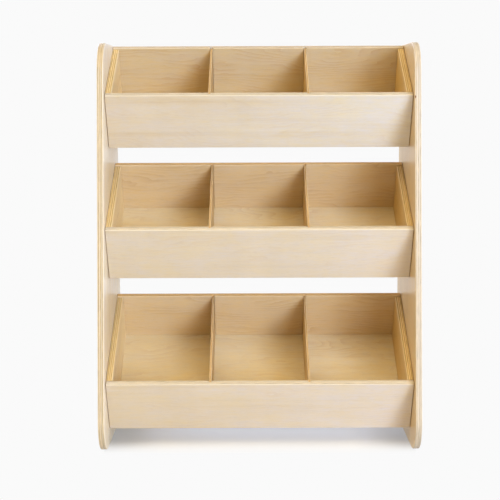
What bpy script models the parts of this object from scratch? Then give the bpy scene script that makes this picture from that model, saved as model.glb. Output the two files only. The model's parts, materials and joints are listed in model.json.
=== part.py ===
"""Toy shelf in birch plywood: three forward-tilted trays bolted between two side panels.

Each tray is a grooved box whose two thin dividers stand loose in open-topped grooves.
Metres, +Z up, the front faces -Y, and the origin lies on the floor under the middle of the shelf.
"""
import math

import bmesh
import bpy
from mathutils import Matrix, Vector

# Overall form
OVERALL_WIDTH = 0.750
FLOOR_DEPTH = 0.404            # depth of a side panel on the floor line, before its corner is rounded
FRONT_LEAN_DEG = 7.0           # how far the front edge leans back from upright
FRONT_CORNER_RADIUS = 0.075
REAR_CORNER_RADIUS = 0.004
TRAY_TILT_DEG = 30.0
TRAY_HEIGHT = 0.143            # along the tilted front wall
BACK_RISE = 0.0025             # back wall's upper edge above those of the front and the ends
TOE_CLEARANCE = 0.040          # floor to the lowest tray's front edge
LOWER_TIER_RISE = 0.357        # bottom tray's lip to the middle tray's lip
UPPER_TIER_RISE = 0.310        # middle tray's lip to the top tray's lip
FRONT_INSET = 0.020            # a tray's lip behind the side panels' front edge, measured level
REAR_INSET = 0.0031            # a tray's lowest rear corner in front of the wall plane
TOP_MARGIN = 0.0015            # top tray's rear corner below the side panels' top edge

# Boards
BOARD = 0.015                  # plywood of the side panels and of the trays' fronts and ends
BACK_BOARD = 0.012             # plywood of the trays' back walls
BASE_BOARD = 0.009
DIVIDER_BOARD = 0.005
COMPARTMENTS = 3
ARRIS = 0.0018                 # rounding of the walls' edges
THIN_ARRIS = 0.0009            # rounding of the dividers' edges
BASE_ARRIS = 0.0004

# Joinery
SEAT_GAP = 0.0003              # between boards that seat against each other
TRAY_SIDE_GAP = 0.0005         # between a tray and a side panel
BASE_LIFT = 0.006              # wall's lower edge to the groove that holds the base
BASE_HOLD = 0.005              # how far the base reaches into its grooves
TONGUE_LENGTH = 0.006
TONGUE_THICKNESS = 0.007
TONGUE_TOP_STOP = 0.022        # tongue's end below the wall's upper edge
TONGUE_BASE_STOP = 0.006       # tongue's end above the base
DADO_DEPTH = 0.006             # divider grooves in the front and back walls
DIVIDER_SIDE_PLAY = 0.0008     # on each face of a divider in its groove
DIVIDER_END_PLAY = 0.0008      # at each end of a divider in its groove
DIVIDER_DROP = 0.001           # divider's top edge below the front wall's top edge

# Fasteners: a flat-headed bolt through the side panel into a threaded insert in the tray's end
BOLT_RADIUS = 0.003
BOLT_HEAD_RADIUS = 0.007
BOLT_HEAD_HEIGHT = 0.003
BOLT_HEAD_CHAMFER = 0.0005
BOLT_SETBACK = 0.055           # bolt axis from the tray's front face and from its rear face
BOLT_HEIGHT = 0.080            # bolt axis above the wall's lower edge
BOLT_REACH = 0.0085            # length of bolt inside the insert
HEX_KEY_SIZE = 0.004           # across flats
HEX_KEY_DEPTH = 0.0018
INSERT_RADIUS = 0.005
INSERT_LENGTH = 0.010
FASTENER_GAP = 0.0003

# Mesh fineness
CORNER_STEPS = 14
REAR_CORNER_STEPS = 2
ARRIS_STEPS = 2
ROUND_STEPS = 16

# Values worked out from the driving dimensions
TILT = math.radians(TRAY_TILT_DEG)
LEAN = math.radians(FRONT_LEAN_DEG)
FRONT_ARC_CENTRE = FLOOR_DEPTH - FRONT_CORNER_RADIUS / math.tan((math.pi / 2 - LEAN) / 2)
OVERALL_DEPTH = FRONT_ARC_CENTRE + FRONT_CORNER_RADIUS
WALL_PLANE_Y = OVERALL_DEPTH / 2
TRAY_WIDTH = OVERALL_WIDTH - 2 * (BOARD + TRAY_SIDE_GAP)
INNER_WIDTH = TRAY_WIDTH - 2 * BOARD
CELL_WIDTH = (INNER_WIDTH - (COMPARTMENTS - 1) * DIVIDER_BOARD) / COMPARTMENTS
BASE_TOP = BASE_LIFT + SEAT_GAP + BASE_BOARD
DADO_WIDTH = DIVIDER_BOARD + 2 * DIVIDER_SIDE_PLAY


def front_depth(height):
    """Distance of the side panels' straight front edge from the wall plane at a height."""
    return FLOOR_DEPTH - height * math.tan(LEAN)


class Tier:
    """Place and depth of one tray, from the height of its front lip."""

    def __init__(self, name, lip_height):
        self.name = name
        lip_depth = front_depth(lip_height) - FRONT_INSET
        foot_depth = lip_depth - TRAY_HEIGHT * math.sin(TILT)
        self.length = (foot_depth - REAR_INSET) / math.cos(TILT)
        self.inner_length = self.length - BOARD - BACK_BOARD
        self.inner_middle = BOARD + self.inner_length / 2
        foot_height = lip_height - TRAY_HEIGHT * math.cos(TILT)
        self.origin = Vector((0.0, WALL_PLANE_Y - foot_depth, foot_height))
        self.rear_top = lip_height + self.length * math.sin(TILT) + BACK_RISE * math.cos(TILT)
        self.matrix = Matrix.Translation(self.origin) @ Matrix.Rotation(TILT, 4, "X")

    def bolt_points(self):
        """Local depth and height of the front and rear bolts of one end."""
        return {
            "front": (BOLT_SETBACK, BOLT_HEIGHT),
            "rear": (self.length - BOLT_SETBACK, BOLT_HEIGHT),
        }


BOTTOM_LIP = TOE_CLEARANCE + TRAY_HEIGHT * math.cos(TILT)
TIERS = [
    Tier("bottom", BOTTOM_LIP),
    Tier("middle", BOTTOM_LIP + LOWER_TIER_RISE),
    Tier("top", BOTTOM_LIP + LOWER_TIER_RISE + UPPER_TIER_RISE),
]
OVERALL_HEIGHT = TIERS[-1].rear_top + TOP_MARGIN


def clear_scene():
    """Remove whatever the open scene holds."""
    for item in list(bpy.data.objects):
        bpy.data.objects.remove(item, do_unlink=True)


def finish(name, colour, roughness, metallic=0.0):
    """A plain Principled material for one kind of piece."""
    material = bpy.data.materials.new(name)
    material.use_nodes = True
    shader = material.node_tree.nodes["Principled BSDF"]
    shader.inputs["Base Color"].default_value = (*colour, 1.0)
    shader.inputs["Roughness"].default_value = roughness
    shader.inputs["Metallic"].default_value = metallic
    material.diffuse_color = (*colour, 1.0)
    return material


def place(name, mesh, location=(0.0, 0.0, 0.0), parent=None, material=None):
    """Link a mesh into the scene as a named object."""
    item = bpy.data.objects.new(name, mesh)
    bpy.context.scene.collection.objects.link(item)
    item.location = location
    item.parent = parent
    if material is not None:
        mesh.materials.clear()
        mesh.materials.append(material)
    return item


def box_mesh(name, boxes):
    """A mesh of separate boxes, each given by its size and centre."""
    shape = bmesh.new()
    for size, centre in boxes:
        stretch = Matrix.Translation(centre) @ Matrix.Diagonal((*size, 1.0))
        bmesh.ops.create_cube(shape, size=1.0, matrix=stretch)
    mesh = bpy.data.meshes.new(name)
    shape.to_mesh(mesh)
    shape.free()
    return mesh


def ring_points(shape, radius, height, centre=(0.0, 0.0)):
    """A level circle of vertices."""
    points = []
    for step in range(ROUND_STEPS):
        angle = math.tau * step / ROUND_STEPS
        x = centre[0] + radius * math.cos(angle)
        y = centre[1] + radius * math.sin(angle)
        points.append(shape.verts.new((x, y, height)))
    return points


def bridge_rings(shape, upper, lower):
    """Join two circles by a band of faces that look outward when the first lies above."""
    for step in range(ROUND_STEPS):
        following = (step + 1) % ROUND_STEPS
        shape.faces.new((upper[step], lower[step], lower[following], upper[following]))


def turned_mesh(name, profile, spots=((0.0, 0.0),)):
    """Closed solids turned about Z from a profile of (radius, height) read from the top down."""
    shape = bmesh.new()
    for spot in spots:
        rings = [ring_points(shape, radius, height, spot) for radius, height in profile]
        shape.faces.new(rings[0])
        shape.faces.new(reversed(rings[-1]))
        for upper, lower in zip(rings, rings[1:]):
            bridge_rings(shape, upper, lower)
    mesh = bpy.data.meshes.new(name)
    shape.to_mesh(mesh)
    shape.free()
    return mesh


def as_cutter(item):
    """Show a helper as wire, and leave it out of the finished model."""
    item.hide_render = True
    item.display_type = "WIRE"
    return item


def helper(name, mesh, parent):
    """A cutting or joining solid in a tray's frame."""
    return as_cutter(place(name, mesh, parent=parent))


def boolean(item, helper, operation="DIFFERENCE"):
    """Cut a helper from an object, or join it on, with the exact solver."""
    modifier = item.modifiers.new(helper.name, "BOOLEAN")
    modifier.operation = operation
    modifier.solver = "EXACT"
    modifier.object = helper


def ease_edges(item, radius):
    """Round the sharp arrises of a board."""
    modifier = item.modifiers.new("arris", "BEVEL")
    modifier.width = radius
    modifier.segments = ARRIS_STEPS
    modifier.limit_method = "ANGLE"
    modifier.angle_limit = math.radians(40.0)


def board(name, size, centre, parent, material, arris):
    """A flat board with rounded arrises, its origin at its middle."""
    item = place(name, box_mesh(name, [(size, Vector())]), centre, parent, material)
    ease_edges(item, arris)
    return item


def rounded_outline(corners):
    """Points of a closed outline whose corners (depth, height, radius, steps) become arcs."""
    points = []
    for index, (depth, height, radius, steps) in enumerate(corners):
        corner = Vector((depth, height))
        before = (Vector(corners[index - 1][:2]) - corner).normalized()
        after = (Vector(corners[(index + 1) % len(corners)][:2]) - corner).normalized()
        half_angle = before.angle(after) / 2
        centre = corner + (before + after).normalized() * (radius / math.sin(half_angle))
        start = corner + before * (radius / math.tan(half_angle)) - centre
        sweep = math.copysign(math.pi - 2 * half_angle, before.cross(after))
        for step in range(steps + 1):
            turn = Matrix.Rotation(-sweep * step / steps, 2)
            points.append(centre + turn @ start)
    return points


def side_panel_mesh(name):
    """The upright panel: level top and foot, plumb rear edge, front edge leaning back."""
    corners = [
        (0.0, 0.0, REAR_CORNER_RADIUS, REAR_CORNER_STEPS),
        (FLOOR_DEPTH, 0.0, FRONT_CORNER_RADIUS, CORNER_STEPS),
        (front_depth(OVERALL_HEIGHT), OVERALL_HEIGHT, FRONT_CORNER_RADIUS, CORNER_STEPS),
        (0.0, OVERALL_HEIGHT, REAR_CORNER_RADIUS, REAR_CORNER_STEPS),
    ]
    shape = bmesh.new()
    rim = [shape.verts.new((-BOARD / 2, -depth, height)) for depth, height in rounded_outline(corners)]
    sheet = shape.faces.new(rim)
    pulled = bmesh.ops.extrude_face_region(shape, geom=[sheet])["geom"]
    moved = [part for part in pulled if isinstance(part, bmesh.types.BMVert)]
    bmesh.ops.translate(shape, verts=moved, vec=(BOARD, 0.0, 0.0))
    bmesh.ops.recalc_face_normals(shape, faces=shape.faces)
    mesh = bpy.data.meshes.new(name)
    shape.to_mesh(mesh)
    shape.free()
    return mesh


def bolt_hole_mesh(name, spots):
    """Through holes with a counterbore that hides the bolt head, opening at height 0."""
    seat = -(BOLT_HEAD_HEIGHT + 2 * FASTENER_GAP)
    head_radius = BOLT_HEAD_RADIUS + FASTENER_GAP
    shank_radius = BOLT_RADIUS + FASTENER_GAP
    past_face = BOARD / 10
    profile = [
        (head_radius, past_face),
        (head_radius, seat),
        (shank_radius, seat),
        (shank_radius, -BOARD - past_face),
    ]
    return turned_mesh(name, profile, spots)


def build_side_panel(hand, direction, material):
    """One side panel, drilled and counterbored for the bolts of the three trays."""
    name = "side_panel_" + hand
    middle_x = direction * (OVERALL_WIDTH - BOARD) / 2
    panel = place(name, side_panel_mesh(name), (middle_x, WALL_PLANE_Y, 0.0), None, material)
    ease_edges(panel, ARRIS)
    outer_face = direction * OVERALL_WIDTH / 2
    spots = []
    for tier in TIERS:
        for depth, height in tier.bolt_points().values():
            point = tier.matrix @ Vector((0.0, depth, height))
            spots.append((-direction * point.z, point.y))
    holes = as_cutter(place(name + "_bolt_holes", bolt_hole_mesh(name + "_bolt_holes", spots)))
    holes.location = (outer_face, 0.0, 0.0)
    holes.rotation_euler = (0.0, direction * math.pi / 2, 0.0)
    boolean(panel, holes)
    return panel


def build_long_wall(tier, which, parent, material):
    """The front or back wall, grooved for the base, the dividers and the end panels' tongues."""
    name = f"{tier.name}_tray_{which}"
    if which == "front":
        thickness, height, inner_face = BOARD, TRAY_HEIGHT, BOARD
        middle_y = BOARD / 2
    else:
        thickness, height, inner_face = BACK_BOARD, TRAY_HEIGHT + BACK_RISE, tier.length - BACK_BOARD
        middle_y = tier.length - BACK_BOARD / 2
    size = (TRAY_WIDTH, thickness, height)
    wall = board(name, size, (0.0, middle_y, height / 2), parent, material, ARRIS)

    def slot(width, depth, low, high, centre_x):
        """A cutting box that enters the inner face to a depth, and stands as far out of it."""
        return (width, 2 * depth, high - low), Vector((centre_x, inner_face, (low + high) / 2))

    base_width = INNER_WIDTH + 2 * (BASE_HOLD + SEAT_GAP)
    base_groove = [slot(base_width, BASE_HOLD + SEAT_GAP, BASE_LIFT, BASE_TOP + SEAT_GAP, 0.0)]
    dados = []
    for number in range(1, COMPARTMENTS):
        centre_x = divider_x(number)
        past_top = height + ARRIS
        dados.append(slot(DADO_WIDTH, DADO_DEPTH, BASE_TOP - BASE_BOARD / 2, past_top, centre_x))
    mortises = []
    for direction in (-1.0, 1.0):
        centre_x = direction * (INNER_WIDTH + BOARD) / 2
        mortise_width = TONGUE_THICKNESS + 2 * SEAT_GAP
        low = BASE_TOP + TONGUE_BASE_STOP - SEAT_GAP
        high = TRAY_HEIGHT - TONGUE_TOP_STOP + SEAT_GAP
        mortises.append(slot(mortise_width, TONGUE_LENGTH, low, high, centre_x))
    for label, boxes in (("base_groove", base_groove), ("dados", dados), ("mortises", mortises)):
        boolean(wall, helper(f"{name}_{label}", box_mesh(f"{name}_{label}", boxes), parent))
    return wall


def build_end(tier, hand, direction, parent, material):
    """An end panel, held between front and back by stopped tongues and drilled for inserts."""
    name = f"{tier.name}_tray_end_{hand}"
    centre = Vector((direction * (INNER_WIDTH + BOARD) / 2, tier.inner_middle, TRAY_HEIGHT / 2))
    length = tier.inner_length - 2 * SEAT_GAP
    end = board(name, (BOARD, length, TRAY_HEIGHT), centre, parent, material, ARRIS)

    tongue_low = BASE_TOP + TONGUE_BASE_STOP
    tongue_high = TRAY_HEIGHT - TONGUE_TOP_STOP
    tongue_span = tier.inner_length + 2 * (TONGUE_LENGTH - SEAT_GAP)
    tongue_size = (TONGUE_THICKNESS, tongue_span, tongue_high - tongue_low)
    tongue_centre = Vector((centre.x, centre.y, (tongue_low + tongue_high) / 2))
    tongues = box_mesh(name + "_tongues", [(tongue_size, tongue_centre)])
    boolean(end, helper(name + "_tongues", tongues, parent), "UNION")

    inner_face = direction * INNER_WIDTH / 2
    groove_size = (2 * (BASE_HOLD + SEAT_GAP), tier.length, BASE_TOP + SEAT_GAP - BASE_LIFT)
    groove_centre = Vector((inner_face, centre.y, (BASE_LIFT + BASE_TOP + SEAT_GAP) / 2))
    groove = box_mesh(name + "_base_groove", [(groove_size, groove_centre)])
    boolean(end, helper(name + "_base_groove", groove, parent))

    hole_radius = INSERT_RADIUS + FASTENER_GAP
    hole_depth = INSERT_LENGTH + 2 * FASTENER_GAP
    spots = [(-direction * height, depth) for depth, height in tier.bolt_points().values()]
    profile = [(hole_radius, BOARD / 10), (hole_radius, -hole_depth)]
    holes = helper(name + "_insert_holes", turned_mesh(name + "_insert_holes", profile, spots), parent)
    holes.location = (direction * TRAY_WIDTH / 2, 0.0, 0.0)
    holes.rotation_euler = (0.0, direction * math.pi / 2, 0.0)
    boolean(end, holes)
    return end


def build_base(tier, parent, material):
    """The base board, housed in grooves on all four sides."""
    size = (INNER_WIDTH + 2 * BASE_HOLD, tier.inner_length + 2 * BASE_HOLD, BASE_BOARD)
    centre = (0.0, tier.inner_middle, BASE_TOP - BASE_BOARD / 2)
    return board(f"{tier.name}_tray_base", size, centre, parent, material, BASE_ARRIS)


def divider_x(number):
    """Middle of a divider, counted from the left from 1."""
    return -INNER_WIDTH / 2 + number * CELL_WIDTH + (number - 0.5) * DIVIDER_BOARD


def build_divider(tier, number, hand, parent, material):
    """A loose divider that stands on the base and lifts out along its grooves."""
    low = BASE_TOP + SEAT_GAP
    high = TRAY_HEIGHT - DIVIDER_DROP
    length = tier.inner_length + 2 * (DADO_DEPTH - DIVIDER_END_PLAY)
    centre = (divider_x(number), tier.inner_middle, (low + high) / 2)
    size = (DIVIDER_BOARD, length, high - low)
    return board(f"{tier.name}_tray_divider_{hand}", size, centre, parent, material, THIN_ARRIS)


def bolt_mesh(name):
    """Flat-headed bolt along Z, its head's top at height 0, with a hexagon socket."""
    reach = BOARD + TRAY_SIDE_GAP + BOLT_REACH
    profile = [
        (BOLT_HEAD_RADIUS - BOLT_HEAD_CHAMFER, 0.0),
        (BOLT_HEAD_RADIUS, -BOLT_HEAD_CHAMFER),
        (BOLT_HEAD_RADIUS, -BOLT_HEAD_HEIGHT),
        (BOLT_RADIUS, -BOLT_HEAD_HEIGHT),
        (BOLT_RADIUS, -reach + BOLT_HEAD_CHAMFER),
        (BOLT_RADIUS - BOLT_HEAD_CHAMFER, -reach),
    ]
    body = as_cutter(place(name + "_blank", turned_mesh(name + "_blank", profile)))
    shape = bmesh.new()
    hexagon_radius = HEX_KEY_SIZE / math.sqrt(3.0)
    bmesh.ops.create_cone(shape, cap_ends=True, segments=6, radius1=hexagon_radius, radius2=hexagon_radius,
                          depth=2 * HEX_KEY_DEPTH)
    key_mesh = bpy.data.meshes.new(name + "_key")
    shape.to_mesh(key_mesh)
    shape.free()
    boolean(body, as_cutter(place(name + "_key", key_mesh)))
    bpy.context.view_layer.update()
    evaluated = body.evaluated_get(bpy.context.evaluated_depsgraph_get())
    mesh = bpy.data.meshes.new_from_object(evaluated)
    mesh.name = name
    return mesh


def insert_mesh(name):
    """Threaded insert as a plain sleeve along Z, its mouth at height 0."""
    bore = BOLT_RADIUS + FASTENER_GAP
    walls = [(INSERT_RADIUS, 0.0), (INSERT_RADIUS, -INSERT_LENGTH), (bore, -INSERT_LENGTH), (bore, 0.0)]
    shape = bmesh.new()
    rings = [ring_points(shape, radius, height) for radius, height in walls]
    for index, ring in enumerate(rings):
        bridge_rings(shape, ring, rings[(index + 1) % len(rings)])
    mesh = bpy.data.meshes.new(name)
    shape.to_mesh(mesh)
    shape.free()
    return mesh


def smooth_round(mesh):
    """Shade a turned piece smooth, with its corners kept sharp."""
    mesh.shade_smooth()
    mesh.set_sharp_from_angle(angle=math.radians(35.0))


def build_fasteners(tier, hand, direction, parent, bolts, inserts):
    """The bolts and inserts that join one end of a tray to its side panel."""
    bolt_x = direction * (OVERALL_WIDTH / 2 - FASTENER_GAP)
    insert_x = direction * (TRAY_WIDTH / 2 - FASTENER_GAP)
    for spot, (depth, height) in tier.bolt_points().items():
        for label, mesh, x in (("bolt", bolts, bolt_x), ("insert", inserts, insert_x)):
            item = place(f"{label}_{tier.name}_{hand}_{spot}", mesh, (x, depth, height), parent)
            item.rotation_euler = (0.0, direction * math.pi / 2, 0.0)


def build_tray(tier, finishes, bolts, inserts):
    """One tray in its own tilted frame, whose origin is the front wall's lower outer edge."""
    frame = bpy.data.objects.new(f"{tier.name}_tray_frame", None)
    bpy.context.scene.collection.objects.link(frame)
    frame.location = tier.origin
    frame.rotation_euler = (TILT, 0.0, 0.0)
    for which in ("front", "back"):
        build_long_wall(tier, which, frame, finishes[which])
    for hand, direction in (("left", -1.0), ("right", 1.0)):
        build_end(tier, hand, direction, frame, finishes["end"])
        build_fasteners(tier, hand, direction, frame, bolts, inserts)
    build_base(tier, frame, finishes["base"])
    hands = ("left", "right") if COMPARTMENTS == 3 else range(1, COMPARTMENTS)
    for number, hand in enumerate(hands, start=1):
        build_divider(tier, number, hand, frame, finishes["divider"])


def main():
    """Build the whole shelf."""
    clear_scene()
    finishes = {
        "side": finish("side_birch", (0.72, 0.53, 0.34), 0.45),
        "front": finish("front_birch", (0.74, 0.56, 0.37), 0.42),
        "back": finish("back_birch", (0.72, 0.54, 0.35), 0.45),
        "end": finish("end_birch", (0.70, 0.52, 0.33), 0.45),
        "base": finish("base_birch", (0.71, 0.53, 0.34), 0.48),
        "divider": finish("divider_birch", (0.70, 0.51, 0.32), 0.50),
    }
    bolts = bolt_mesh("tray_bolt")
    bolts.materials.clear()
    bolts.materials.append(finish("zinc_bolt", (0.62, 0.62, 0.61), 0.32, 1.0))
    inserts = insert_mesh("tray_insert")
    inserts.materials.append(finish("zinc_insert", (0.58, 0.55, 0.47), 0.40, 1.0))
    for mesh in (bolts, inserts):
        smooth_round(mesh)
    for hand, direction in (("left", -1.0), ("right", 1.0)):
        build_side_panel(hand, direction, finishes["side"])
    for tier in TIERS:
        build_tray(tier, finishes, bolts, inserts)
    print(f"Shelf {OVERALL_WIDTH:.3f} x {OVERALL_DEPTH:.3f} x {OVERALL_HEIGHT:.3f} m, "
          f"compartments {CELL_WIDTH * 1000:.1f} mm wide")
    for tier in TIERS:
        print(f"{tier.name} tray is {tier.length * 1000:.1f} mm from front to back")


main()
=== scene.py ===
# %% [markdown]
# # A toy shelf in clear-finished birch plywood
#
# Two plywood sides carry three open trays that tip towards the child, and two thin dividers part each
# tray into three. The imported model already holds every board, bolt and insert at its real size, so this
# lesson builds no new boards. It dresses those that are there: birch veneer on the faces, a stack of
# plies on every edge, a thin satin lacquer over both, and zinc on the fasteners. Lengths are in metres.

# %% Load the shelf
import json
import math

import bpy
from mathutils import Matrix, Vector


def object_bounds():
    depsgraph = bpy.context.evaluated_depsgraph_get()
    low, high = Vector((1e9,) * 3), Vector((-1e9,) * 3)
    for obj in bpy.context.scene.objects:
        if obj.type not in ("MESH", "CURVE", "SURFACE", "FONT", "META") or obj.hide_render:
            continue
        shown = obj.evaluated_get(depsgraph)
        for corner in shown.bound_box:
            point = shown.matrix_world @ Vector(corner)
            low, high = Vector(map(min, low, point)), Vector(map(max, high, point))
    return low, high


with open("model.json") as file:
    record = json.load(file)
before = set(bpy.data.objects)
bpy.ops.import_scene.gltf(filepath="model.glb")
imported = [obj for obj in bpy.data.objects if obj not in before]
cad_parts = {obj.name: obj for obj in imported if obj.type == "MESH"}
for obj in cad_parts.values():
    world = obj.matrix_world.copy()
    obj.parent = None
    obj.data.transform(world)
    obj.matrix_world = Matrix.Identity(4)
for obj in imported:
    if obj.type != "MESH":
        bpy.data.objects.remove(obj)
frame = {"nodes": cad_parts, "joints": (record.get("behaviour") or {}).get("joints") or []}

cad_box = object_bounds()
print("loaded", len(frame["nodes"]), "pieces, size", [round(v, 4) for v in cad_box[1] - cad_box[0]])

# %% [markdown]
# ## Which way each board runs
#
# Wood has a direction, so every board needs three axes of its own: along the grain, across it, and
# through the thickness. The trays are tipped, and a divider lifts straight out of its tray, so the lift
# joint's axis is the tray's own "up". The other tray directions follow from it by a cross product, and
# no angle has to be typed in. The grain of the long walls and of the bases runs along the shelf, that of
# the ends and dividers from front to back, and that of the sides from foot to top.

# %% Directions
ACROSS_SHELF = Vector((1, 0, 0))
UPRIGHT = Vector((0, 0, 1))
FORWARD = Vector((0, -1, 0))
TRAY_UP = Vector(frame["joints"][0]["axis"]).normalized()
TRAY_SLOPE = TRAY_UP.cross(ACROSS_SHELF)

GRAIN_AND_WIDTH = {
    "side": (UPRIGHT, FORWARD),
    "front": (ACROSS_SHELF, TRAY_UP),
    "back": (ACROSS_SHELF, TRAY_UP),
    "base": (ACROSS_SHELF, TRAY_SLOPE),
    "end": (TRAY_SLOPE, TRAY_UP),
    "divider": (TRAY_SLOPE, TRAY_UP),
}
print("trays tip by", round(math.degrees(math.acos(TRAY_UP.z)), 2), "degrees")


# %% Measure the boards
def measure_board(name, kind):
    """The board's axes as rows, its middle, and half its length, width and thickness."""
    grain, width = GRAIN_AND_WIDTH[kind]
    axes = Matrix((grain, width, grain.cross(width)))
    corners = [axes @ v.co for v in frame["nodes"][name].data.vertices]
    low = Vector(min(c[i] for c in corners) for i in range(3))
    high = Vector(max(c[i] for c in corners) for i in range(3))
    middle = axes.transposed() @ ((low + high) / 2)
    return {"name": name, "kind": kind, "axes": axes, "middle": middle, "half": (high - low) / 2}


TIERS = ("bottom", "middle", "top")
HANDS = ("left", "right")
boards = [measure_board(f"side_panel_{hand}", "side") for hand in HANDS]
for tier in TIERS:
    for kind in ("front", "back", "base"):
        boards.append(measure_board(f"{tier}_tray_{kind}", kind))
    for kind in ("end", "divider"):
        for hand in HANDS:
            boards.append(measure_board(f"{tier}_tray_{kind}_{hand}", kind))
for board in boards[:5]:
    print(board["name"], "is", [round(2000 * v, 1) for v in board["half"]], "mm")

# %% [markdown]
# ## Soft arrises
#
# The long edges of the boards are rounded over a little, so that no child meets a sharp corner. The
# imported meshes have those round-overs as narrow facets, and each triangle keeps its own corners.
# Painting normals by hand would be slow. Instead a small geometry node group merges the corners and
# shades the round-overs smooth, and Blender's Weighted Normal modifier keeps the wide faces flat.

# %% Smooth the round-overs
MERGE_DISTANCE = 0.00001
SHARP_ANGLE = math.radians(50)


def soft_arris_group():
    """Geometry nodes: weld split corners, and shade smooth wherever an edge turns gently."""
    tree = bpy.data.node_groups.new("Soft arrises", "GeometryNodeTree")
    tree.interface.new_socket(name="Geometry", in_out="INPUT", socket_type="NodeSocketGeometry")
    tree.interface.new_socket(name="Geometry", in_out="OUTPUT", socket_type="NodeSocketGeometry")
    start = tree.nodes.new("NodeGroupInput")
    weld = tree.nodes.new("GeometryNodeMergeByDistance")
    weld.inputs["Distance"].default_value = MERGE_DISTANCE
    plain = tree.nodes.new("GeometryNodeRemoveAttribute")
    plain.inputs["Name"].default_value = "custom_normal"
    faces = tree.nodes.new("GeometryNodeSetShadeSmooth")
    angle = tree.nodes.new("GeometryNodeInputMeshEdgeAngle")
    gentle = tree.nodes.new("FunctionNodeCompare")
    gentle.operation = "LESS_THAN"
    gentle.inputs["B"].default_value = SHARP_ANGLE
    edges = tree.nodes.new("GeometryNodeSetShadeSmooth")
    edges.domain = "EDGE"
    end = tree.nodes.new("NodeGroupOutput")
    tree.links.new(start.outputs[0], plain.inputs[0])
    tree.links.new(plain.outputs[0], weld.inputs[0])
    tree.links.new(weld.outputs[0], faces.inputs[0])
    tree.links.new(faces.outputs[0], edges.inputs[0])
    tree.links.new(angle.outputs["Unsigned Angle"], gentle.inputs["A"])
    tree.links.new(gentle.outputs[0], edges.inputs["Shade Smooth"])
    tree.links.new(edges.outputs[0], end.inputs[0])
    return tree


soft_arrises = soft_arris_group()
for piece in frame["nodes"].values():
    piece.modifiers.new("Soft arrises", "NODES").node_group = soft_arrises
    flatten = piece.modifiers.new("Flat faces", "WEIGHTED_NORMAL")
    flatten.keep_sharp = True
print("smoothed the round-overs of", len(frame["nodes"]), "pieces")

# %% [markdown]
# ## Short words for wiring nodes
#
# A shader is a chain of small sums. Written out in full, each sum takes five lines, so a few helpers
# with short names come first: one adds a node, one does arithmetic, one makes a soft step, one mixes
# two colours, one stretches a noise along the grain, and one opens a new group with named sockets. A
# colour is written as it looks on a screen and turned into the linear numbers of a shader.


# %% Helpers for shader nodes
def join(tree, value, socket):
    """Sets a socket to a value, or links it where the value is itself a socket."""
    if isinstance(value, bpy.types.NodeSocket):
        tree.links.new(value, socket)
    else:
        socket.default_value = value


def add_node(tree, kind, inputs=None, **settings):
    """A new node with its settings, and its inputs by name or number."""
    node = tree.nodes.new(kind)
    for name, value in settings.items():
        setattr(node, name, value)
    for key, value in (inputs or {}).items():
        join(tree, value, node.inputs[key])
    return node


def calc(tree, operation, *values, clamp=False):
    """One step of arithmetic."""
    node = add_node(tree, "ShaderNodeMath", dict(enumerate(values)), operation=operation)
    node.use_clamp = clamp
    return node.outputs[0]


def vector_calc(tree, operation, *values):
    """One step of arithmetic on places; a length comes out as a number."""
    node = add_node(tree, "ShaderNodeVectorMath", dict(enumerate(values)), operation=operation)
    return node.outputs["Value" if operation == "LENGTH" else "Vector"]


def soft_step(tree, value, start, end, low=0.0, high=1.0):
    """Goes smoothly from low to high while the value goes from start to end."""
    limits = {"Value": value, "From Min": start, "From Max": end, "To Min": low, "To Max": high}
    return add_node(tree, "ShaderNodeMapRange", limits, interpolation_type="SMOOTHSTEP").outputs[0]


def split(tree, place):
    """The three coordinates of a place, by letter or by number."""
    return add_node(tree, "ShaderNodeSeparateXYZ", {0: place}).outputs


def mix_colour(tree, amount, first, second):
    """The first colour with some of the second in it."""
    node = add_node(tree, "ShaderNodeMix", {0: amount, 6: first, 7: second}, data_type="RGBA")
    return node.outputs[2]


def scale_colour(tree, colour, amount):
    """A colour made paler or darker as a whole."""
    node = add_node(tree, "ShaderNodeVectorMath", {0: colour, "Scale": amount}, operation="SCALE")
    return node.outputs["Vector"]


def stretched_noise(tree, place, waves, seed, detail=2.0):
    """Noise with so many waves a metre along the grain, across it and through the board."""
    scaled = vector_calc(tree, "MULTIPLY", place, waves)
    inputs = {"Vector": scaled, "W": seed, "Scale": 1.0, "Detail": detail}
    return add_node(tree, "ShaderNodeTexNoise", inputs, noise_dimensions="4D").outputs[0]


SOCKET_KINDS = {"number": "NodeSocketFloat", "place": "NodeSocketVector", "colour": "NodeSocketColor"}


def new_group(name, inputs, outputs):
    """An empty shader group; returns its tree, what comes in and what goes out."""
    tree = bpy.data.node_groups.new(name, "ShaderNodeTree")
    for side, sockets in (("INPUT", inputs), ("OUTPUT", outputs)):
        for label, kind in sockets.items():
            tree.interface.new_socket(name=label, in_out=side, socket_type=SOCKET_KINDS[kind])
    return tree, tree.nodes.new("NodeGroupInput").outputs, tree.nodes.new("NodeGroupOutput").inputs


def srgb(red, green, blue):
    """A colour as it looks on a screen, 0 to 255, in the linear numbers that a shader takes."""
    screen = [v / 255 for v in (red, green, blue)]
    linear = [v / 12.92 if v <= 0.04045 else ((v + 0.055) / 1.055) ** 2.4 for v in screen]
    return (*linear, 1.0)


print("helpers ready; pale birch is", [round(v, 3) for v in srgb(231, 216, 196)[:3]])
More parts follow.
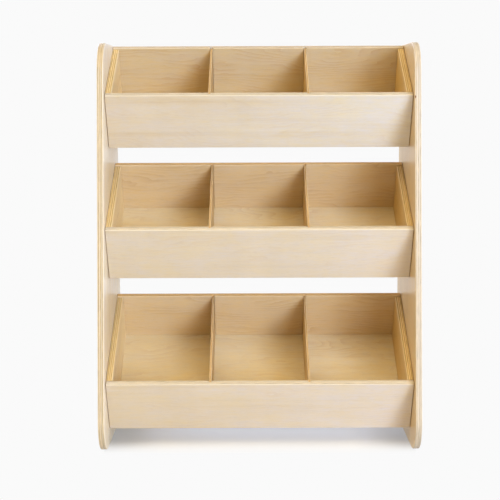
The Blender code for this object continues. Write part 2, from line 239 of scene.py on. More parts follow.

# %% [markdown]
# ## Birch veneer
#
# The faces are rotary-cut birch: a long knife peels the log like a pencil in a sharpener, so the growth
# rings come out as wide, faint flames and nested loops and not as straight lines. An image of wood would
# give that, but it would repeat and blur in a close view. Contour lines of a noise that is stretched
# along the grain draw the same flames at any size. Finer noises add the change from honey heartwood to
# pale sapwood, honey blots and threads, the ripple across the grain, the fibres, the pores and the brown
# flecks. On some boards a slope across the shelf makes the veneer paler towards the right: that is
# painted light, standing in for light that is stronger at the right-hand end.

# %% Birch veneer group
HONEY_TINT = (0.05, -0.03, -0.36)
RING_SPACING = 0.0095
RING_SWING, LOOP_SWING, RING_WOBBLE = 14.0, 16.0, 1.3
RING_BROWN = srgb(188, 146, 98)
RING_STRENGTH = 0.34
FLECK_BROWN = srgb(168, 122, 78)
FLECK_STRENGTH = 0.12
BASE_TONE = 0.89
FIBRE_HEIGHT = 0.00003
PORE_DEPTH = 0.00005
BLOT_SEED, BEND_SEED = 1.9, 3.7


def birch_veneer_group():
    """Face veneer: its colour, its pores as a mask, and its height in metres."""
    tree, given, result = new_group(
        "Birch veneer",
        {"Place": "place", "Board": "number", "Figure": "number", "Loops": "number",
         "Painted Light Drift": "number", "Sapwood": "colour", "Heartwood": "colour"},
        {"Color": "colour", "Pores": "number", "Height": "number"},
    )
    place, board, figure = given["Place"], given["Board"], given["Figure"]
    axes = split(tree, place)

    clouds = stretched_noise(tree, place, (1.4, 8.0, 8.0), board, 3.0)
    bands = stretched_noise(tree, place, (1.8, 60.0, 60.0), board, 3.0)
    heart = soft_step(tree, clouds, 0.3, 0.7, 0.25, 0.6)
    heart = calc(tree, "ADD", heart, soft_step(tree, bands, 0.45, 0.75, 0.0, 0.3))
    # paler towards the right: painted light, standing in for light that is stronger at the right-hand end
    heart = calc(tree, "MULTIPLY_ADD", axes["X"], given["Painted Light Drift"], heart, clamp=True)
    colour = mix_colour(tree, heart, given["Sapwood"], given["Heartwood"])

    blots = stretched_noise(tree, place, (13.0, 36.0, 36.0), calc(tree, "ADD", board, BLOT_SEED))
    threads = stretched_noise(tree, place, (50.0, 210.0, 210.0), board)
    honey = calc(tree, "SUBTRACT", calc(tree, "ADD", blots, threads), 1.0)
    tint = vector_calc(tree, "MULTIPLY_ADD", HONEY_TINT, honey, (1.0, 1.0, 1.0))
    colour = vector_calc(tree, "MULTIPLY", colour, tint)

    bend = stretched_noise(tree, place, (2.2, 9.0, 9.0), calc(tree, "ADD", board, BEND_SEED))
    wobble = stretched_noise(tree, place, (22.0, 80.0, 80.0), board)
    straight = calc(tree, "MULTIPLY_ADD", given["Loops"], -1 / RING_SPACING, 1 / RING_SPACING)
    swing = calc(tree, "MULTIPLY_ADD", given["Loops"], LOOP_SWING, RING_SWING)
    phase = calc(tree, "MULTIPLY_ADD", axes["Y"], straight, calc(tree, "MULTIPLY", bend, swing))
    phase = calc(tree, "MULTIPLY_ADD", wobble, RING_WOBBLE, phase)
    ring = calc(tree, "POWER", calc(tree, "FRACT", phase), 2.0)
    fade = soft_step(tree, stretched_noise(tree, place, (9.0, 26.0, 26.0), board), 0.38, 0.64)
    ring = calc(tree, "MULTIPLY", calc(tree, "MULTIPLY", ring, fade), figure)
    ring = calc(tree, "MULTIPLY", ring, RING_STRENGTH, clamp=True)
    colour = mix_colour(tree, ring, colour, RING_BROWN)

    flecks = stretched_noise(tree, place, (28.0, 330.0, 330.0), board, 1.0)
    flecks = calc(tree, "MULTIPLY", soft_step(tree, flecks, 0.64, 0.76), figure)
    flecks = calc(tree, "MULTIPLY", flecks, FLECK_STRENGTH, clamp=True)
    colour = mix_colour(tree, flecks, colour, FLECK_BROWN)

    fibre = stretched_noise(tree, place, (30.0, 900.0, 900.0), board)
    streak = stretched_noise(tree, place, (3.0, 150.0, 150.0), board)
    ripple = stretched_noise(tree, place, (17.0, 2.6, 2.6), board, 1.0)
    pores = stretched_noise(tree, place, (95.0, 1600.0, 1600.0), board, 1.0)
    pores = soft_step(tree, pores, 0.58, 0.72)
    shade = BASE_TONE
    for mark, strength in ((fibre, 0.10), (streak, 0.05), (ripple, 0.07), (pores, -0.09)):
        shade = calc(tree, "MULTIPLY_ADD", mark, strength, shade)

    join(tree, scale_colour(tree, colour, shade), result["Color"])
    join(tree, pores, result["Pores"])
    height = calc(tree, "MULTIPLY", fibre, FIBRE_HEIGHT)
    join(tree, calc(tree, "MULTIPLY_ADD", pores, -PORE_DEPTH, height), result["Height"])
    return tree


birch_veneer = birch_veneer_group()
print("birch veneer group has", len(birch_veneer.nodes), "nodes")

# %% [markdown]
# ## The stack of plies
#
# A cut edge shows what plywood is: veneers about 2 mm thick, glued with their grain crossed. A ply
# that runs along the edge shows pale fibres, and the next one, cut across, shows dark end grain. Stripes
# could be drawn along each edge one by one. Here the stack is worked out through the whole board
# from the depth below its face, and the surface normal says whether a ply is cut along or across. So
# every edge, round-over, groove and rounded corner shows the right stripe by itself.

# %% Plywood edge group
GLUE_BROWN = srgb(160, 116, 70)
GLUE_STRENGTH = 0.45
GLUE_DEPTH = 0.00005
END_GRAIN_HEIGHT = 0.00008
WAVES_ALONG, WAVES_ACROSS, WAVES_THROUGH = 18.0, 498.0, 1100.0
PATCH_SEED, TONE_SEED = 7.7, 13.7


def plywood_edge_group():
    """The stack of plies: its colour, where the edge shows, and its height in metres."""
    tree, given, result = new_group(
        "Plywood edge",
        {"Place": "place", "Facing": "place", "Half Thickness": "number", "Plies": "number",
         "Board": "number", "Long Grain": "colour", "End Grain": "colour"},
        {"Color": "colour", "Edge": "number", "Height": "number"},
    )
    facing = split(tree, given["Facing"])
    cut_x, cut_y, flat = (calc(tree, "ABSOLUTE", facing[i]) for i in range(3))

    depth = calc(tree, "DIVIDE", split(tree, given["Place"])["Z"], given["Half Thickness"])
    depth = calc(tree, "MULTIPLY_ADD", depth, 0.5, 0.5)
    stack = calc(tree, "MULTIPLY", depth, given["Plies"])
    ply = calc(tree, "FLOOR", stack)
    crossed = calc(tree, "FLOORED_MODULO", ply, 2.0)
    skin = calc(tree, "MINIMUM", stack, calc(tree, "SUBTRACT", given["Plies"], stack))

    turned = calc(tree, "SUBTRACT", cut_y, cut_x)
    end_cut = calc(tree, "MULTIPLY_ADD", crossed, turned, cut_x, clamp=True)
    more = WAVES_ACROSS - WAVES_ALONG
    waves_x = calc(tree, "MULTIPLY_ADD", crossed, more, WAVES_ALONG)
    waves_y = calc(tree, "MULTIPLY_ADD", crossed, -more, WAVES_ACROSS)
    waves = add_node(tree, "ShaderNodeCombineXYZ", {0: waves_x, 1: waves_y, 2: WAVES_THROUGH})
    seed = calc(tree, "ADD", ply, given["Board"])
    fibre = stretched_noise(tree, given["Place"], waves.outputs[0], seed)
    seed = calc(tree, "MULTIPLY_ADD", ply, PATCH_SEED, given["Board"])
    patches = stretched_noise(tree, given["Place"], (42.0, 42.0, 42.0), seed, 1.0)
    seed = calc(tree, "MULTIPLY_ADD", given["Board"], TONE_SEED, ply)
    own_tone = add_node(tree, "ShaderNodeTexWhiteNoise", {"W": seed}, noise_dimensions="1D")

    colour = mix_colour(tree, end_cut, given["Long Grain"], given["End Grain"])
    shade = calc(tree, "MULTIPLY_ADD", own_tone.outputs["Value"], 0.22, 0.74)
    shade = calc(tree, "MULTIPLY_ADD", fibre, 0.20, shade)
    shade = calc(tree, "MULTIPLY_ADD", calc(tree, "MULTIPLY_ADD", patches, 0.8, -0.4), end_cut, shade)
    colour = scale_colour(tree, colour, shade)
    between = calc(tree, "ABSOLUTE", calc(tree, "SUBTRACT", calc(tree, "FRACT", stack), 0.5))
    glue = calc(tree, "MULTIPLY", soft_step(tree, between, 0.42, 0.48), soft_step(tree, skin, 0.3, 0.5))
    colour = mix_colour(tree, calc(tree, "MULTIPLY", glue, GLUE_STRENGTH), colour, GLUE_BROWN)

    join(tree, colour, result["Color"])
    inside = soft_step(tree, skin, 0.97, 1.03)
    join(tree, calc(tree, "MAXIMUM", inside, soft_step(tree, flat, 0.85, 0.55)), result["Edge"])
    height = calc(tree, "MULTIPLY", calc(tree, "MULTIPLY", fibre, end_cut), END_GRAIN_HEIGHT)
    join(tree, calc(tree, "MULTIPLY_ADD", glue, -GLUE_DEPTH, height), result["Height"])
    return tree


plywood_edge = plywood_edge_group()
print("plywood edge group has", len(plywood_edge.nodes), "nodes")

# %% [markdown]
# ## Where hands and toys rub
#
# Lacquer is thinnest on an arris, and that is where toys knock. The wood there is a shade paler and
# duller. The distance to the nearest arris gives the place: on a box-shaped board it is the second
# smallest of the distances to its six faces. The sides aren't boxes, because their front edge leans back
# and its corners are round, so they get an outline of their own, with smooth minimums for the rounds.
# Distances also place the smaller marks: a faint greying towards the corners of the trays, a dark line
# of painted shadow with a little dirt where two boards butt, and one pin knot on the front edge of the
# right side.

# %% Groups for the nearest arris
def board_rims_group():
    """For a box-shaped board: the distance to its nearest arris, rim, lower edge and end."""
    tree, given, result = new_group(
        "Board rims",
        {"Place": "place", "Half Size": "place"},
        {"Arris": "number", "Rim": "number", "Foot": "number", "Ends": "number"},
    )
    place, half = split(tree, given["Place"]), split(tree, given["Half Size"])
    left = [calc(tree, "SUBTRACT", half[i], calc(tree, "ABSOLUTE", place[i])) for i in range(3)]
    nearer = calc(tree, "MINIMUM", left[0], left[1])
    farther = calc(tree, "MAXIMUM", left[0], left[1])
    arris = calc(tree, "MAXIMUM", nearer, calc(tree, "MINIMUM", farther, left[2]))
    join(tree, arris, result["Arris"])
    join(tree, nearer, result["Rim"])
    join(tree, left[0], result["Ends"])
    join(tree, calc(tree, "ADD", place["Y"], half["Y"]), result["Foot"])
    return tree


# a side's front edge: its lean, its distance from the rear at the floor, and the blend at its corners
FRONT_LEAN = math.radians(7)
FRONT_FOOT = 0.404
CORNER_BLEND = 0.088


def panel_rims_group():
    """For a side, whose front edge leans back between round corners: the distance to its arris."""
    tree, given, result = new_group(
        "Panel rims", {"Place": "place", "Half Size": "place"}, {"Arris": "number"}
    )
    place, half = split(tree, given["Place"]), split(tree, given["Half Size"])
    above_foot = calc(tree, "ADD", place["X"], half["X"])
    below_top = calc(tree, "SUBTRACT", half["X"], place["X"])
    from_rear = calc(tree, "ADD", place["Y"], half["Y"])
    depth_here = calc(tree, "MULTIPLY_ADD", above_foot, -math.tan(FRONT_LEAN), FRONT_FOOT)
    from_front = calc(tree, "SUBTRACT", depth_here, from_rear)
    from_front = calc(tree, "MULTIPLY", from_front, math.cos(FRONT_LEAN))
    outline = calc(tree, "SMOOTH_MIN", from_front, above_foot, CORNER_BLEND)
    outline = calc(tree, "SMOOTH_MIN", outline, below_top, CORNER_BLEND)
    outline = calc(tree, "MINIMUM", outline, from_rear)
    through = calc(tree, "SUBTRACT", half["Z"], calc(tree, "ABSOLUTE", place["Z"]))
    join(tree, calc(tree, "MAXIMUM", outline, through), result["Arris"])
    return tree


board_rims, panel_rims = board_rims_group(), panel_rims_group()
print("arris groups:", board_rims.name, "and", panel_rims.name)

# %% Groups for wear, corner greying and lacquer
WEAR_LEAST, WEAR_SPREAD = 0.0008, 0.0016
# how far the greying towards a corner reaches, and where it is full
CORNER_GREY_REACH, CORNER_GREY_FULL = 0.022, 0.003
PEEL_HEIGHT = 0.000018
# how far the painted shadow along a butt joint reaches
SEAM_LEAST, SEAM_SPREAD = 0.0006, 0.0010
KNOT_STRETCH = (1.0, 1.0, 0.55)


def arris_wear_group():
    """How worn the finish is, from the distance to the arris."""
    tree, given, result = new_group(
        "Arris wear", {"Arris": "number", "Place": "place", "Board": "number"}, {"Wear": "number"}
    )
    patches = stretched_noise(tree, given["Place"], (14.0, 14.0, 14.0), given["Board"])
    nicks = stretched_noise(tree, given["Place"], (160.0, 160.0, 160.0), given["Board"])
    reach = calc(tree, "MULTIPLY_ADD", nicks, WEAR_SPREAD, WEAR_LEAST)
    band = soft_step(tree, calc(tree, "DIVIDE", given["Arris"], reach), 1.4, 0.3)
    join(tree, calc(tree, "MULTIPLY", band, soft_step(tree, patches, 0.25, 0.6, 0.4)), result["Wear"])
    return tree


def corner_greying_group():
    """Greyer where a board meets its neighbour, from the distance to that corner."""
    tree, given, result = new_group(
        "Corner greying", {"Corner": "number", "Place": "place", "Board": "number"}, {"Greying": "number"}
    )
    clouds = stretched_noise(tree, given["Place"], (26.0, 26.0, 26.0), given["Board"], 4.0)
    near = soft_step(tree, given["Corner"], CORNER_GREY_REACH, CORNER_GREY_FULL)
    join(tree, calc(tree, "MULTIPLY", near, soft_step(tree, clouds, 0.35, 0.75)), result["Greying"])
    return tree


def satin_lacquer_group():
    """The clear coat: its roughness, and the faint orange peel that a roller leaves, in metres."""
    tree, given, result = new_group(
        "Satin lacquer",
        {"Place": "place", "Board": "number", "Edge": "number", "Pores": "number", "Wear": "number",
         "Satin": "number"},
        {"Roughness": "number", "Height": "number"},
    )
    smears = stretched_noise(tree, given["Place"], (6.0, 22.0, 22.0), given["Board"], 3.0)
    rough = given["Satin"]
    duller = ((smears, 0.14), (given["Edge"], 0.12), (given["Pores"], 0.08), (given["Wear"], 0.10))
    for mark, strength in duller:
        rough = calc(tree, "MULTIPLY_ADD", mark, strength, rough)
    join(tree, rough, result["Roughness"])
    peel = stretched_noise(tree, given["Place"], (420.0, 420.0, 420.0), given["Board"], 1.0)
    join(tree, calc(tree, "MULTIPLY", peel, PEEL_HEIGHT), result["Height"])
    return tree


def seam_shadow_group():
    """Painted shadow with a little dirt where a board butts against the next, from its distance to the
    joint.
    """
    tree, given, result = new_group(
        "Seam shadow", {"Distance": "number", "Place": "place", "Board": "number"}, {"Mask": "number"}
    )
    uneven = stretched_noise(tree, given["Place"], (60.0, 60.0, 60.0), given["Board"])
    reach = calc(tree, "MULTIPLY_ADD", uneven, SEAM_SPREAD, SEAM_LEAST)
    away = calc(tree, "DIVIDE", given["Distance"], reach)
    join(tree, soft_step(tree, away, 1.3, 0.5), result["Mask"])
    return tree


def pin_knot_group():
    """One small knot, taller than wide, round a point of the shelf: 1 at its heart, 0 outside."""
    tree, given, result = new_group(
        "Pin knot", {"Place": "place", "Knot": "place", "Radius": "number"}, {"Mask": "number"}
    )
    ragged = stretched_noise(tree, given["Place"], (500.0, 500.0, 500.0), 0.0)
    away = vector_calc(tree, "SUBTRACT", given["Place"], given["Knot"])
    away = vector_calc(tree, "LENGTH", vector_calc(tree, "MULTIPLY", away, KNOT_STRETCH))
    reach = calc(tree, "MULTIPLY", given["Radius"], calc(tree, "ADD", ragged, 0.5))
    away = calc(tree, "DIVIDE", away, reach)
    join(tree, soft_step(tree, away, 1.25, 0.6), result["Mask"])
    return tree


arris_wear, corner_greying = arris_wear_group(), corner_greying_group()
satin_lacquer, seam_shadow_line, pin_knot = satin_lacquer_group(), seam_shadow_group(), pin_knot_group()
for group in (arris_wear, corner_greying, satin_lacquer, seam_shadow_line, pin_knot):
    print(group.name, "group has", len(group.nodes), "nodes")

# %% [markdown]
# ## One plywood for every board
#
# Each board gets its own material, because each is cut from its own place in a sheet. The material turns
# the shelf's coordinates into the board's own, hands them to the shared groups, and mixes face and edge.
# What differs from board to board is only a handful of values: how many plies, how strong the figure is,
# and how honey or pale the veneer.

# %% Board material
RAW_BIRCH = srgb(242, 226, 198)
WEAR_STRENGTH = 0.35
CORNER_GREY = srgb(196, 184, 166)
CORNER_GREY_STRENGTH = 0.10
# painted shadow in the narrow gap where boards butt, with a little dirt in it
SEAM_SHADOW_BROWN = srgb(146, 104, 54)
KNOT_BROWN = srgb(104, 56, 26)
KNOT_RADIUS = 0.0019
SEED_STEP = 5.3


def place_group(tree, group, inputs):
    """A shared group placed in a material, with its own values."""
    node = tree.nodes.new("ShaderNodeGroup")
    node.node_tree = group
    node.label = group.name
    for label, value in inputs.items():
        join(tree, value, node.inputs[label])
    return node.outputs


def board_coordinates(tree, board):
    """The place on the shelf, then the place and the surface's facing along the board's own axes."""
    shelf = tree.nodes.new("ShaderNodeTexCoord").outputs
    turn = board["axes"].transposed().to_euler()
    inputs = {"Vector": shelf["Object"], "Location": board["middle"], "Rotation": turn}
    place = add_node(tree, "ShaderNodeMapping", inputs, vector_type="TEXTURE").outputs[0]
    inputs = {"Vector": shelf["Normal"], "Rotation": turn}
    facing = add_node(tree, "ShaderNodeMapping", inputs, vector_type="TEXTURE").outputs[0]
    return shelf["Object"], place, facing


def empty_tree(owner):
    """The cleared node tree of a material or a world."""
    owner.use_nodes = True
    owner.node_tree.nodes.clear()
    return owner.node_tree


def new_material(name):
    """A material with a Principled shader; returns it with its tree and the shader's inputs."""
    material = bpy.data.materials.new(name)
    tree = empty_tree(material)
    shader = tree.nodes.new("ShaderNodeBsdfPrincipled")
    output = tree.nodes.new("ShaderNodeOutputMaterial")
    tree.links.new(shader.outputs[0], output.inputs["Surface"])
    return material, tree, shader.inputs


def birch_plywood(board, number, finish):
    """The clear-finished birch plywood of one board."""
    material, tree, shader = new_material("birch_ply_" + board["name"])
    on_shelf, place, facing = board_coordinates(tree, board)
    half = tuple(board["half"])
    seed = number * SEED_STEP
    veneer = place_group(tree, birch_veneer, {
        "Place": place, "Board": seed, "Figure": finish["figure"], "Loops": finish["loops"],
        "Painted Light Drift": finish["painted_light_drift"], "Sapwood": finish["sapwood"], "Heartwood": finish["heartwood"],
    })
    edge = place_group(tree, plywood_edge, {
        "Place": place, "Facing": facing, "Half Thickness": half[2], "Plies": finish["plies"],
        "Board": seed, "Long Grain": finish["long_grain"], "End Grain": finish["end_grain"],
    })
    rims_group = panel_rims if board["kind"] == "side" else board_rims
    rims = place_group(tree, rims_group, {"Place": place, "Half Size": half})
    arris = {"Arris": rims["Arris"], "Place": place, "Board": seed}
    wear = place_group(tree, arris_wear, arris)["Wear"]
    colour = mix_colour(tree, edge["Edge"], veneer["Color"], edge["Color"])
    colour = mix_colour(tree, calc(tree, "MULTIPLY", wear, WEAR_STRENGTH), colour, RAW_BIRCH)
    # greyer towards the corner where a wall meets the base, or towards the rim of a base
    if finish["corner"]:
        corner = {"Corner": rims[finish["corner"]], "Place": place, "Board": seed}
        corner_grey_amount = place_group(tree, corner_greying, corner)["Greying"]
        colour = mix_colour(tree, calc(tree, "MULTIPLY", corner_grey_amount, CORNER_GREY_STRENGTH), colour, CORNER_GREY)
    # painted shadow where the board butts against the next, with a little dirt in the joint
    if finish["shadowed_seam"]:
        distance = rims["Ends"]
        if finish["shadowed_seam"] == "outer face":
            hand = math.copysign(1.0, board["middle"].x)
            distance = calc(tree, "MULTIPLY_ADD", split(tree, place)["Z"], -hand, half[2])
        butt = {"Distance": distance, "Place": place, "Board": seed}
        shadowed_seam = place_group(tree, seam_shadow_line, butt)["Mask"]
        shadowed_seam = calc(tree, "MULTIPLY", shadowed_seam, finish["seam_shadow_depth"])
        colour = mix_colour(tree, shadowed_seam, colour, SEAM_SHADOW_BROWN)
    if "knot" in finish:
        spot = {"Place": on_shelf, "Knot": finish["knot"], "Radius": KNOT_RADIUS}
        knot = place_group(tree, pin_knot, spot)["Mask"]
        colour = mix_colour(tree, knot, colour, KNOT_BROWN)
    lacquer = place_group(tree, satin_lacquer, {
        "Place": place, "Board": seed, "Edge": edge["Edge"], "Pores": veneer["Pores"], "Wear": wear,
        "Satin": finish["satin"],
    })
    heights = {0: edge["Edge"], 2: veneer["Height"], 3: edge["Height"]}
    height = add_node(tree, "ShaderNodeMix", heights, data_type="FLOAT").outputs[0]
    height = calc(tree, "ADD", height, lacquer["Height"])
    bump = add_node(tree, "ShaderNodeBump", {"Height": height, "Distance": 1.0, "Strength": 1.0})
    join(tree, colour, shader["Base Color"])
    join(tree, lacquer["Roughness"], shader["Roughness"])
    join(tree, bump.outputs[0], shader["Normal"])
    shader["Specular IOR Level"].default_value = finish["gloss"]
    return material


print("board material ready")

# %% [markdown]
# ## Finishes, board by board
#
# The three tray fronts are pale birch with a faint figure, honey at the left and almost white sapwood at
# the right. That change, and the same paler right-hand end on the bases and the top back, is painted
# light: it stands in for light that is stronger towards the lamps at the right. The backs and bases come
# from warmer sheets with a bolder flame. The thin dividers are a 5 mm board of three plies. All other
# boards have seven: 9 mm in the bases, 12 mm in the backs and 15 mm elsewhere. What most boards share is
# written once. One table then holds what differs from kind to kind, and a second one what differs on
# single boards, so a new tone is one line.

# %% Dress the boards
SHARED_FINISH = {
    "plies": 7, "loops": 0.2, "painted_light_drift": 0.0, "corner": "Foot", "shadowed_seam": None, "seam_shadow_depth": 0.8,
    "satin": 0.36, "gloss": 0.15,
}
FINISHES = {
    "side": {
        "figure": 0.6, "corner": None, "satin": 0.26, "gloss": 0.5,
        "sapwood": srgb(249, 238, 217), "heartwood": srgb(241, 224, 193),
        "long_grain": srgb(219, 209, 188), "end_grain": srgb(189, 166, 128),
    },
    "front": {
        "figure": 0.35, "painted_light_drift": -1.5, "corner": None, "shadowed_seam": "ends",
        "sapwood": srgb(230, 224, 215), "heartwood": srgb(212, 194, 166),
        "long_grain": srgb(220, 216, 208), "end_grain": srgb(198, 182, 155),
    },
    "back": {
        "figure": 1.1, "shadowed_seam": "ends",
        "sapwood": srgb(224, 201, 164), "heartwood": srgb(215, 187, 142),
        "long_grain": srgb(218, 210, 198), "end_grain": srgb(188, 164, 132),
    },
    "base": {
        "figure": 0.7, "loops": 0.75, "painted_light_drift": -1.0, "corner": "Rim",
        "sapwood": srgb(235, 223, 197), "heartwood": srgb(225, 205, 163),
        "long_grain": srgb(234, 217, 186), "end_grain": srgb(200, 168, 118),
    },
    "end": {
        "figure": 0.9, "shadowed_seam": "outer face",
        "sapwood": srgb(249, 230, 188), "heartwood": srgb(240, 214, 165),
        "long_grain": srgb(235, 212, 162), "end_grain": srgb(206, 174, 118),
    },
    "divider": {
        "plies": 3, "figure": 0.9,
        "sapwood": srgb(210, 183, 137), "heartwood": srgb(200, 166, 115),
        "long_grain": srgb(214, 186, 140), "end_grain": srgb(178, 138, 86),
    },
}
# the right tray ends turn away from the lamps at the right, so their veneer is painted darker: painted
# shade
PAINTED_SHADE_END = {"sapwood": srgb(222, 192, 137), "heartwood": srgb(211, 178, 116)}
# the painted shadow along the joints of the left tray ends is fainter
FAINT_SEAM_SHADOW = {"seam_shadow_depth": 0.35}
# the top edges of the lower backs are painted warmer: painted shade from the tray above
UNDER_TRAY_SHADE_EDGE = {"long_grain": srgb(240, 208, 156), "end_grain": srgb(206, 164, 104)}
OWN_FINISHES = {
    # the right side's veneer is painted darker and warmer than the left's: painted shade, as its inner
    # face turns away from the lamps
    "side_panel_right": {
        "sapwood": srgb(224, 199, 155), "heartwood": srgb(214, 185, 134),
        "long_grain": srgb(220, 213, 203), "end_grain": srgb(198, 181, 155),
        "knot": (0.3611, -0.1054, 0.8269),
    },
    "bottom_tray_front": {"sapwood": srgb(225, 214, 203), "heartwood": srgb(212, 195, 168)},
    "middle_tray_front": {"sapwood": srgb(228, 217, 202), "heartwood": srgb(218, 204, 182)},
    "bottom_tray_back": UNDER_TRAY_SHADE_EDGE,
    "middle_tray_back": UNDER_TRAY_SHADE_EDGE,
    "top_tray_back": {"painted_light_drift": -0.7, "sapwood": srgb(216, 199, 170), "heartwood": srgb(206, 185, 146)},
}
for tier in TIERS:
    OWN_FINISHES[f"{tier}_tray_end_left"] = FAINT_SEAM_SHADOW
    OWN_FINISHES[f"{tier}_tray_end_right"] = PAINTED_SHADE_END


def dress(piece, material):
    """Gives a piece its material on the object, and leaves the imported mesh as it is."""
    piece.material_slots[0].link = "OBJECT"
    piece.material_slots[0].material = material


for number, board in enumerate(boards):
    finish = {**SHARED_FINISH, **FINISHES[board["kind"]], **OWN_FINISHES.get(board["name"], {})}
    dress(frame["nodes"][board["name"]], birch_plywood(board, number, finish))
print("dressed", len(boards), "boards")

# %% [markdown]
# ## Zinc on the fasteners
#
# Each tray end is held by two flat-headed bolts that run through the side into threaded inserts. They are
# bright zinc over turned steel, so the heads carry fine rings from the lathe and a slightly cloudy sheen.
# Generated coordinates run from 0 to 1 over each bolt, whichever it is, so one material serves them all.

# %% Zinc material
TURNING_RINGS = 190.0
RING_HEIGHT = 0.000008
BOLT_ROUGHNESS, INSERT_ROUGHNESS = 0.24, 0.34
BOX_MIDDLE = (0.5, 0.5, 0.5)
ACROSS_BOLT = (0.0, 1.0, 1.0)
ZINC = srgb(203, 205, 208)
ZINC_SHADE = srgb(172, 176, 182)


def bright_zinc(name, roughness):
    """Zinc plate over turned steel."""
    material, tree, shader = new_material(name)
    place = tree.nodes.new("ShaderNodeTexCoord").outputs["Generated"]
    flat = vector_calc(tree, "MULTIPLY", vector_calc(tree, "SUBTRACT", place, BOX_MIDDLE), ACROSS_BOLT)
    radius = vector_calc(tree, "LENGTH", flat)
    rings = calc(tree, "SINE", calc(tree, "MULTIPLY", radius, TURNING_RINGS))
    clouds = stretched_noise(tree, place, (3.0, 5.0, 5.0), 1.0, 4.0)
    colour = mix_colour(tree, soft_step(tree, clouds, 0.35, 0.7), ZINC, ZINC_SHADE)
    join(tree, colour, shader["Base Color"])
    join(tree, calc(tree, "MULTIPLY_ADD", clouds, 0.16, roughness), shader["Roughness"])
    height = calc(tree, "MULTIPLY", rings, RING_HEIGHT)
    bump = add_node(tree, "ShaderNodeBump", {"Height": height, "Distance": 1.0})
    join(tree, bump.outputs[0], shader["Normal"])
    shader["Metallic"].default_value = 1.0
    return material


zinc_bolt = bright_zinc("bolt_zinc_plate", BOLT_ROUGHNESS)
zinc_insert = bright_zinc("insert_zinc_plate", INSERT_ROUGHNESS)
for name, piece in frame["nodes"].items():
    if name.startswith("bolt_"):
        dress(piece, zinc_bolt)
    elif name.startswith("insert_"):
        dress(piece, zinc_insert)
print("plated", sum(n.startswith(("bolt_", "insert_")) for n in frame["nodes"]), "fasteners")

# %% [markdown]
# ## Floor and backdrop
#
# The shelf stands on a plain white floor that runs out of sight. Under the shelf the floor is an ordinary
# matt surface, so it takes the soft shadow and throws light up at the tray fronts. Towards the feet it
# fades into the same white as the backdrop, so no horizon shows, but only for the camera and for
# reflections. The distance to a box with round corners drives the fade, and a second step deepens the
# shadow beside the feet.

# %% Floor and white backdrop
BACKDROP_WHITE = srgb(250, 250, 250)
FLOOR_WHITE = (0.748, 0.771, 0.85)
FLOOR_GLOW = 0.22
FLOOR_HALF = 14.0
FADE_INSET = (0.012, 0.139)
FADE_WIDTH = (0.012, 0.115)
SIDE_SHADE = 0.48
SIDE_SHADE_REACH = 0.16


def seen_directly(tree):
    """1 for rays from the camera, a reflection or a pane of glass, and 0 for light that spreads."""
    rays = tree.nodes.new("ShaderNodeLightPath").outputs
    seen = calc(tree, "MAXIMUM", rays["Is Camera Ray"], rays["Is Glossy Ray"])
    return calc(tree, "MAXIMUM", seen, rays["Is Transmission Ray"])


def floor_material():
    """Matt white that fades to the backdrop's white away from the shelf."""
    material = bpy.data.materials.new("studio_floor")
    tree = empty_tree(material)
    aside = vector_calc(tree, "ABSOLUTE", tree.nodes.new("ShaderNodeTexCoord").outputs["Object"])
    seen = seen_directly(tree)
    outer_face = cad_box[1].x
    beside = split(tree, aside)["X"]
    shade = soft_step(tree, beside, outer_face - SIDE_SHADE_REACH, outer_face, 0.0, SIDE_SHADE)
    shade = calc(tree, "SUBTRACT", 1.0, calc(tree, "MULTIPLY", shade, seen))
    matt = add_node(tree, "ShaderNodeBsdfDiffuse", {"Color": scale_colour(tree, FLOOR_WHITE, shade)})
    glow = add_node(tree, "ShaderNodeEmission", {"Strength": calc(tree, "MULTIPLY", seen, FLOOR_GLOW)})
    near = add_node(tree, "ShaderNodeAddShader", {0: matt.outputs[0], 1: glow.outputs[0]})
    white = add_node(tree, "ShaderNodeEmission", {"Color": BACKDROP_WHITE, "Strength": 1.0})
    core = [cad_box[1][i] - FADE_INSET[i] for i in range(2)]
    past = vector_calc(tree, "SUBTRACT", aside, (*core, 0.0))
    past = vector_calc(tree, "DIVIDE", past, (*FADE_WIDTH, 1.0))
    past = vector_calc(tree, "LENGTH", vector_calc(tree, "MAXIMUM", past, (0.0, 0.0, 0.0)))
    amount = calc(tree, "MULTIPLY", soft_step(tree, past, 0.0, 1.0), seen)
    mixed = add_node(tree, "ShaderNodeMixShader", {0: amount, 1: near.outputs[0], 2: white.outputs[0]})
    add_node(tree, "ShaderNodeOutputMaterial", {"Surface": mixed.outputs[0]})
    return material


floor_mesh = bpy.data.meshes.new("studio_floor")
floor_corners = [(x * FLOOR_HALF, y * FLOOR_HALF, 0.0) for x, y in ((-1, -1), (1, -1), (1, 1), (-1, 1))]
floor_mesh.from_pydata(floor_corners, [], [(0, 1, 2, 3)])
floor_mesh.materials.append(floor_material())
floor = bpy.data.objects.new("studio_floor", floor_mesh)
bpy.context.scene.collection.objects.link(floor)
print("floor is", 2 * FLOOR_HALF, "m wide")

# %% [markdown]
# ## Soft studio light
#
# Two low lamps stand in front and to the right: a neutral one, and a cool one further round. Both reach
# deep into the tipped trays. Behind each divider the cool one is cut off first, so the shade there starts
# soft and brown. A warm lamp above the camera and a weaker one at the left fill in, and a cool one from
# behind lights the gaps. Three level ones light only the outer faces of the sides and the back, and are
# kept out of reflections. Sun lamps with a wide angle give the same soft light all over the shelf, so no
# lamp has to be moved when the camera looks from another side. The room itself is white to the camera,
# and lends the shade a faint warm glow.

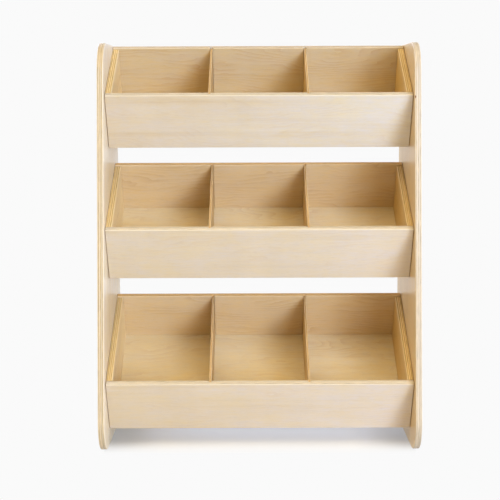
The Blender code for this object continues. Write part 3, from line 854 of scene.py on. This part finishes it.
# %% Lights
LAMPS = {
    # degrees right of the front, degrees above the floor, degrees wide, strength, colour
    "key_lamp": (22, 7, 24, 1.36, (1.0, 0.99, 0.98)),
    "cool_lamp": (32, 7, 24, 0.94, (0.7, 1.0, 1.45)),
    "top_lamp": (0, 60, 60, 1.9, (1.0, 0.82, 0.5)),
    "fill_lamp": (-75, 30, 80, 1.02, (1.0, 0.74, 0.29)),
    "rear_lamp": (-145, 27, 45, 1.35, (0.8, 1.0, 1.4)),
    "left_lamp": (-90, 2, 16, 0.45, (0.66, 1.0, 1.85)),
    "right_lamp": (90, 2, 16, 1.5, (0.77, 1.0, 1.6)),
    "back_lamp": (180, 2, 8, 0.75, (1.16, 1.0, 0.8)),
}
LEVEL_BELOW = 5  # degrees above the floor


def soft_sun(name, right, above, wide, strength, colour):
    """A sun lamp so many degrees right of the front and above the floor; a level one gives no glare."""
    light = bpy.data.lights.new(name, "SUN")
    light.energy = strength
    light.color = colour
    light.angle = math.radians(wide)
    azimuth, height = math.radians(right), math.radians(above)
    outward = Vector((math.sin(azimuth), -math.cos(azimuth), 0.0))
    towards_lamp = outward * math.cos(height) + UPRIGHT * math.sin(height)
    sun = bpy.data.objects.new(name, light)
    sun.rotation_euler = (-towards_lamp).to_track_quat("-Z", "Y").to_euler()
    sun.visible_glossy = above > LEVEL_BELOW
    bpy.context.scene.collection.objects.link(sun)
    print(name, "shines from", [round(v, 2) for v in towards_lamp])


for name, lamp in LAMPS.items():
    soft_sun(name, *lamp)

# %% White room
ROOM_FILL = (0.07, 0.045, 0.008, 1.0)

room = bpy.data.worlds.new("white_room")
bpy.context.scene.world = room
tree = empty_tree(room)
fill = add_node(tree, "ShaderNodeBackground", {"Color": ROOM_FILL, "Strength": 1.0})
white = add_node(tree, "ShaderNodeBackground", {"Color": BACKDROP_WHITE, "Strength": 1.0})
shown = {0: seen_directly(tree), 1: fill.outputs[0], 2: white.outputs[0]}
mixed = add_node(tree, "ShaderNodeMixShader", shown)
add_node(tree, "ShaderNodeOutputWorld", {"Surface": mixed.outputs[0]})
print("the room fills the shade with", ROOM_FILL[:3])

# %% [markdown]
# ## The camera
#
# The photograph was taken from about three metres away and a little above the shelf's middle, looking
# down by seven degrees, with a lens long enough that the sides stay nearly parallel. The place and the
# angles were fitted to the shelf's own edges, so a point of the model falls on its pixel.

# %% Camera
SENSOR_MM = 36.0
PHOTO_PIXELS = 500
FOCAL_PIXELS = 1237.0
CAMERA_BACK = 3.1785
CAMERA_SIDE = -0.0172
CAMERA_HEIGHT = 0.8321
LOOK_DOWN = math.radians(7.145)
LOOK_RIGHT = math.radians(-0.094)
ROLL = math.radians(-0.196)

lens = bpy.data.cameras.new("photo_camera")
lens.sensor_width = SENSOR_MM
lens.lens = FOCAL_PIXELS / PHOTO_PIXELS * SENSOR_MM
camera = bpy.data.objects.new("photo_camera", lens)
bpy.context.scene.collection.objects.link(camera)
turn = Matrix.Rotation(-LOOK_RIGHT, 4, "Z") @ Matrix.Rotation(math.pi / 2 - LOOK_DOWN, 4, "X")
turn = turn @ Matrix.Rotation(ROLL, 4, "Z")
rear_plane = cad_box[1].y
camera.matrix_world = Matrix.Translation((CAMERA_SIDE, rear_plane - CAMERA_BACK, CAMERA_HEIGHT)) @ turn
bpy.context.scene.camera = camera
bpy.context.scene.view_settings.view_transform = "Standard"
print("lens", round(lens.lens, 2), "mm")
